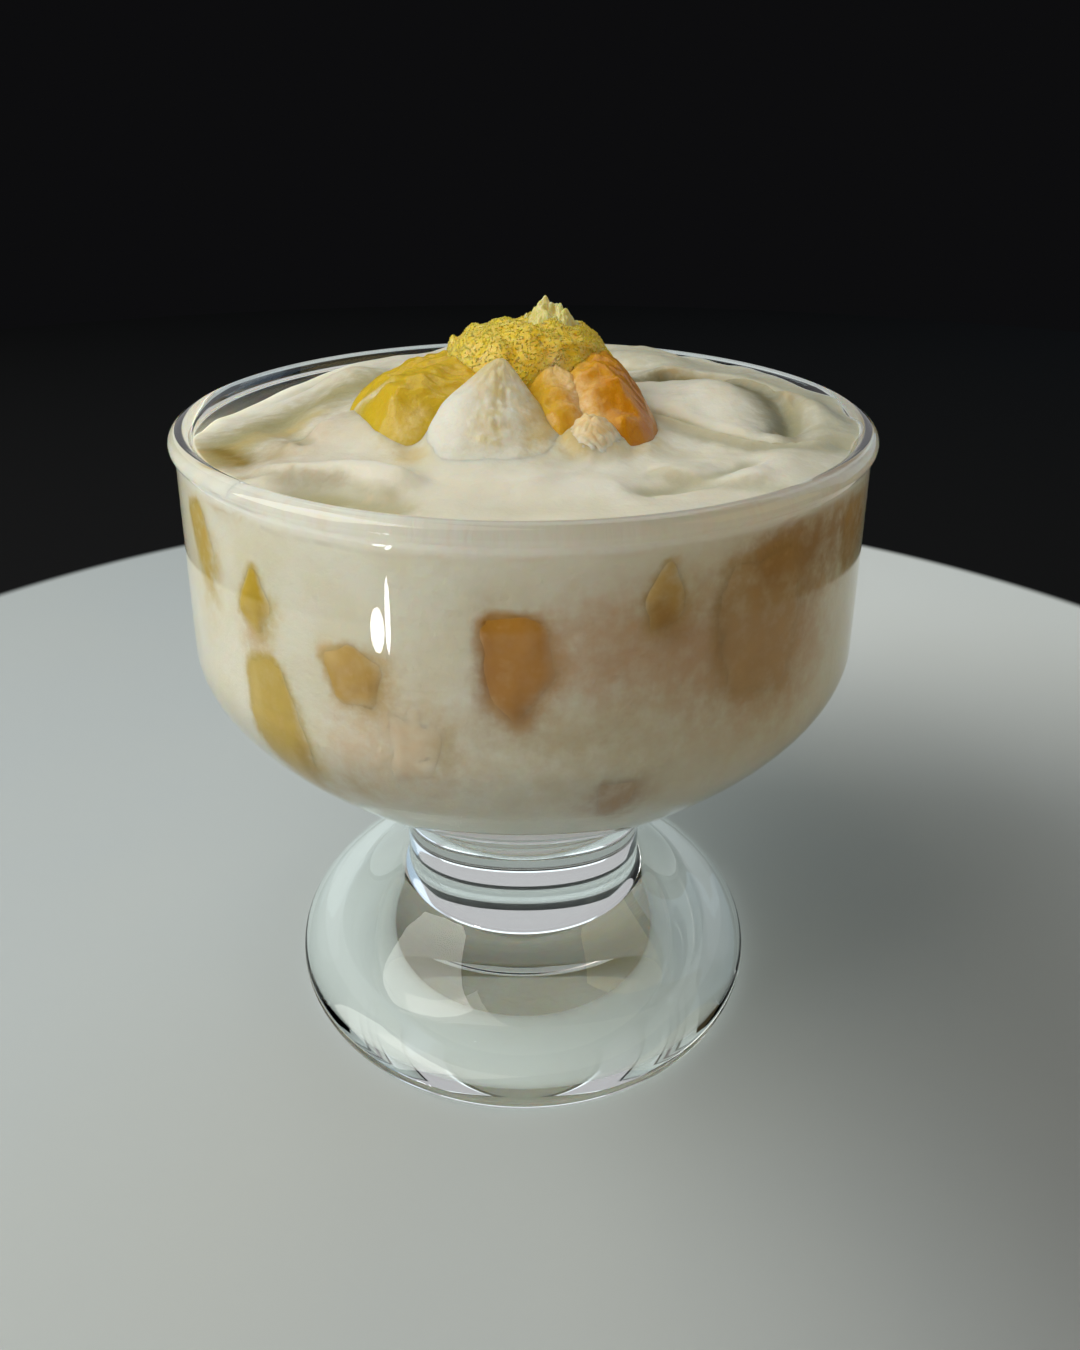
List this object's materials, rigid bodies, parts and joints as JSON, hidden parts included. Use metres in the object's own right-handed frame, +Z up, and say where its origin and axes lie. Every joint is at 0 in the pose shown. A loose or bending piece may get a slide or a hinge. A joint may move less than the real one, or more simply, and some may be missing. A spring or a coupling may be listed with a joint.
{
  "type": "fruit mousse in a footed dessert glass",
  "caption": "Pale mousse spooned into folds in a short-stemmed dessert glass, with yellow fruit against the glass and a heap of fruit and cream on top.",
  "frame": {"origin": "the middle of the foot's underside, on the surface that the glass stands on", "axes": "+Z up along the glass's axis; -Y is the side that the picture was taken from, +X is to its right"},
  "size_m": [0.1, 0.1, 0.1088],
  "materials": {
    "glass": "clear, smooth, faint grey-green tint",
    "mousse": "soft cream-coloured mousse with a moist sheen",
    "cream": "whipped cream, softly glossy",
    "fruit": "wet yellow-orange fruit flesh",
    "fruit_pale": "wet pale yellow fruit flesh"
  },
  "bodies": {
    "root": {"glass": "glass", "mousse": "mousse", "cream_dollop": "cream", "cream_fleck": "cream", "fruit_strip": "fruit", "fruit_left": "fruit", "fruit_right": "fruit", "fruit_crumb": "fruit_pale", "fruit_pulp": "fruit", "fruit_wall_far_left": "fruit", "fruit_wall_left_rim": "fruit", "fruit_wall_left_small": "fruit", "fruit_wall_left_long": "fruit", "fruit_wall_left_blob": "fruit", "fruit_wall_pale": "fruit_pale", "fruit_wall_front": "fruit", "fruit_wall_front_low": "fruit", "fruit_wall_right_small": "fruit", "fruit_wall_right_large": "fruit", "fruit_wall_far_right": "fruit", "fruit_wall_rear_1": "fruit", "fruit_wall_rear_2": "fruit", "fruit_wall_rear_3": "fruit", "fruit_wall_rear_4": "fruit", "fruit_wall_rear_5": "fruit", "fruit_wall_rear_6": "fruit", "fruit_wall_rear_7": "fruit"}
  },
  "joints": []
}
